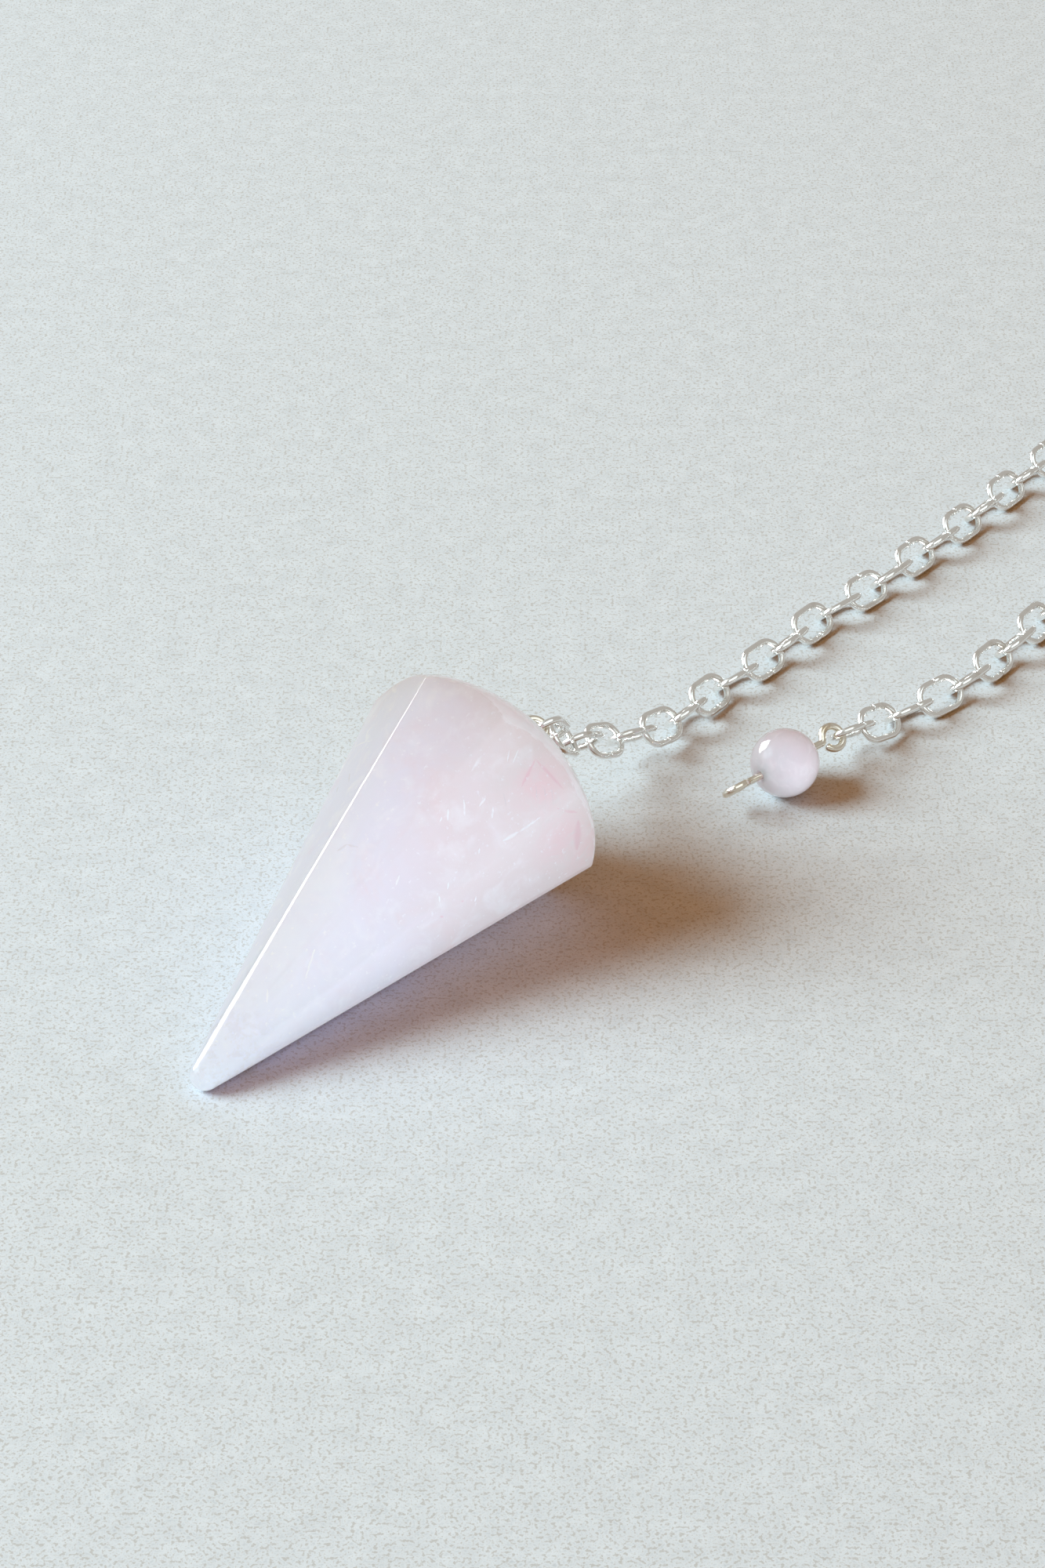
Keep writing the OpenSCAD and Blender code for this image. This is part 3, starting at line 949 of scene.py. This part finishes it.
class PENDANT_OT_stage(bpy.types.Operator):
    """Sets up the floor, the soft light and the camera"""
    bl_idname = "pendant.stage"
    bl_label = "Set Up Stage"

    def execute(self, context):
        stage = context.scene.pendant_stage
        self.floor(stage)
        self.lights(stage)
        context.scene.world = self.room(stage)
        self.camera(context, stage)
        context.scene.view_settings.view_transform = "Standard"
        return {"FINISHED"}

    def lights(self, stage):
        """Window light on everything, shared out by finish, and soft lights for each finish alone"""
        milky = self.group("milky_pieces", MILKY_PIECES)
        metal = self.group("silver_pieces", SILVER_PIECES)
        every = MILKY_PIECES + SILVER_PIECES
        pieces = self.group("all_pieces", every)
        others = self.group("other_things", every, "EXCLUDE")
        bead = self.group("bead_alone", ("bead_polished",))
        # Each line: from where, its distance and side in metres, power, colour and what it lights
        window, daylight, glow = stage.window_power, stage.daylight, stage.glow_colour
        stone_window = window * stage.stone_share
        self.light("window", LEFT, 2.0, 1.1, window, daylight, others)
        self.light("window_on_stone", LEFT, 2.0, 1.1, stone_window, daylight, milky)
        self.light("window_on_silver", LEFT, 2.0, 1.1, window, daylight, metal, bounced=False)
        self.light("wide_window", FAR_LEFT, 2.0, 1.8, stage.wide_power, stage.soft_light)
        self.light("back_window", BEHIND, 2.0, 1.0, stage.back_power, stage.back_light, pieces,
                   diffuse=False, bounced=False)
        self.light("glow", FRONT, 1.8, 2.0, stage.glow_power, glow, milky, glossy=False)
        self.light("far_glow", FAR_SIDE, 1.8, 1.6, stage.far_glow_power, glow, milky, glossy=False)
        self.light("bead_glow", LEFT, 1.8, 2.0, stage.bead_power, glow, bead, glossy=False)
        self.light("soft_box", ABOVE, 1.8, 2.0, stage.sheen_power, stage.soft_light, metal, bounced=False)

    def light(self, name, direction, distance, size, power, colour, receivers=None,
              diffuse=True, glossy=True, bounced=True):
        """A square soft light that looks at the pendant, on some pieces or on everything"""
        lamp = bpy.data.lights.new(name, "AREA")
        lamp.shape = "SQUARE"
        lamp.size = size
        lamp.energy = power
        lamp.color = colour
        if not bounced:
            lamp.cycles.max_bounces = 0
        light = placed(name, lamp)
        away = Vector(direction).normalized()
        light.location = away * distance
        light.rotation_euler = away.to_track_quat("Z", "Y").to_euler()
        light.visible_diffuse = diffuse
        light.visible_glossy = glossy
        if receivers:
            light.light_linking.receiver_collection = receivers

    def group(self, name, pieces, state="INCLUDE"):
        """Pieces that a light reaches, or leaves out"""
        group = bpy.data.collections.new(name)
        for piece in pieces:
            group.objects.link(bpy.data.objects[piece])
        for member in group.collection_objects:
            member.light_linking.link_state = state
        return group

    def room(self, stage):
        """Warm dim light from all round, and a paler room in what the pieces mirror"""
        finish = Finish(bpy.data.worlds.new("room"))
        warm = finish.node("Background", {}, {
            "Color": (*stage.room, 1.0), "Strength": stage.room_strength})
        mirrored = finish.node("Background", {}, {"Color": (*stage.mirrored_room, 1.0)})
        glossy = finish.node("LightPath", output="Is Glossy Ray")
        scattered = finish.node("LightPath", output="Diffuse Depth")
        seen = glossy * (1 - scattered).most(0.0)
        return finish.surface(finish.node("MixShader", {}, {0: seen, 1: warm, 2: mirrored}))

    def floor(self, stage):
        """A plain pale floor with a fine sandy grain"""
        finish = Finish(bpy.data.materials.new("pale_floor"))
        place = finish.place()
        sand = finish.noise(place, scale=3100.0, detail=5.0)
        patches = finish.noise(place, scale=450.0, detail=4.0)
        shade = 1.0 + (sand - 0.5) * 0.9 + (patches - 0.5) * 0.22
        colour = finish.node("VectorMath", {"operation": "SCALE"}, {0: tuple(stage.floor), "Scale": shade})
        colour = finish.mix(sand.rise(0.48, 0.63) * 0.64, colour, stage.grain)
        bump = finish.node("Bump", {}, {"Strength": 0.25, "Distance": 0.00004, "Height": sand})
        shader = finish.node("BsdfPrincipled", {}, {"Base Color": colour, "Roughness": 0.85, "Normal": bump})
        mesh = bpy.data.meshes.new("floor")
        low, high = -FLOOR_HALF, FLOOR_HALF
        corners = [(low, low, 0), (high, low, 0), (high, high, 0), (low, high, 0)]
        mesh.from_pydata(corners, [], [(0, 1, 2, 3)])
        mesh.materials.append(finish.surface(shader))
        floor = placed("floor", mesh)

    def camera(self, context, stage):
        """A camera that looks down along +Y at a point on the floor"""
        lens = bpy.data.cameras.new("camera")
        lens.sensor_fit = "VERTICAL"
        lens.sensor_height = SENSOR_HEIGHT
        lens.lens = LENS
        lens.clip_start = NEAREST_SEEN
        camera = placed("camera", lens)
        pitch, distance = stage.camera_pitch, stage.camera_distance
        back, up = distance * math.cos(pitch), distance * math.sin(pitch)
        camera.location = (stage.aim_x, stage.aim_y - back, up)
        camera.rotation_euler = (math.pi / 2 - pitch, 0, 0)
        context.scene.camera = camera


# Each group of settings by its name in the scene, and the operators that use it
GROUPS = {
    "pendant_stone": (StoneSettings, PENDANT_OT_stone),
    "pendant_metal": (MetalSettings, PENDANT_OT_chain, PENDANT_OT_loops),
    "pendant_bead": (BeadSettings, PENDANT_OT_bead),
    "pendant_stage": (StageSettings, PENDANT_OT_stage),
}


class PENDANT_PT_panel(bpy.types.Panel):
    """Lists the settings and the pieces"""
    bl_idname = "PENDANT_PT_panel"
    bl_label = "Pendant"
    bl_space_type = "VIEW_3D"
    bl_region_type = "UI"
    bl_category = "Pendant"

    def draw(self, context):
        for settings, (group, *operators) in GROUPS.items():
            box = self.layout.box()
            for name in group.__annotations__:
                box.prop(getattr(context.scene, settings), name)
            for operator in operators:
                box.operator(operator.bl_idname)


def register():
    for settings, classes in GROUPS.items():
        for each in classes:
            bpy.utils.register_class(each)
        setattr(bpy.types.Scene, settings, PointerProperty(type=classes[0]))
    bpy.utils.register_class(PENDANT_PT_panel)


def unregister():
    bpy.utils.unregister_class(PENDANT_PT_panel)
    for settings, classes in GROUPS.items():
        delattr(bpy.types.Scene, settings)
        for each in reversed(classes):
            bpy.utils.unregister_class(each)


def main():
    register()
    bpy.ops.pendant.stone()
    bpy.ops.pendant.chain()
    bpy.ops.pendant.loops()
    bpy.ops.pendant.bead()
    bpy.ops.pendant.stage()


if __name__ == "__main__":
    main()
